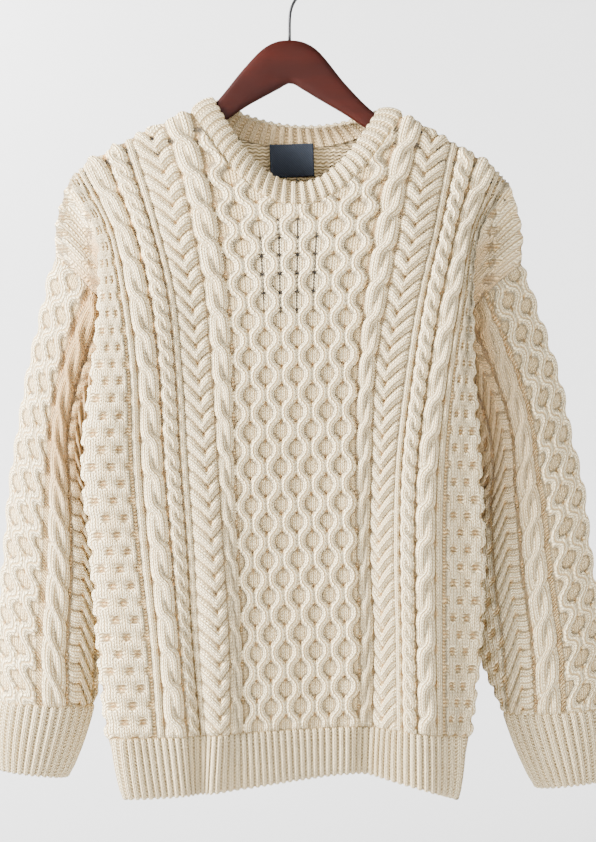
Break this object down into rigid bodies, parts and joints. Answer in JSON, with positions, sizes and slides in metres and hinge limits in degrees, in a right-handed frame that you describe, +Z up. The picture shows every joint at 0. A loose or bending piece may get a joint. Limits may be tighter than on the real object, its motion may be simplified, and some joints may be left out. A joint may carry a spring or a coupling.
{
  "type": "hand-framed cable-knit crewneck sweater on a wooden hanger",
  "caption": "Heavy cable-knit crewneck sweater with long sleeves and ribbed neck, cuffs and hem, hanging on a wooden hanger with a wire hook.",
  "frame": {"origin": "top of the inside of the hook's ring, where a rail or pin carries the hanger", "axes": "+Z up along the hanging line, the sweater's front faces -Y, +X to the right as seen from the front"},
  "size_m": [0.6427, 0.1342, 0.8602],
  "materials": {
    "knit": "thick undyed wool, cabled, unbrushed",
    "rib": "undyed wool, ribbed",
    "label": "woven navy tape, bare",
    "hanger_wood": "mahogany stain under satin varnish",
    "hook_wire": "black lacquered wire"
  },
  "bodies": {
    "root": {"front": "knit", "back": "knit", "sleeve_left": "knit", "sleeve_right": "knit", "neckband": "rib", "welt_front": "rib", "welt_back": "rib", "cuff_left": "rib", "cuff_right": "rib", "label": "label", "hanger": "hanger_wood", "hanger_hook": "hook_wire"}
  },
  "joints": []
}
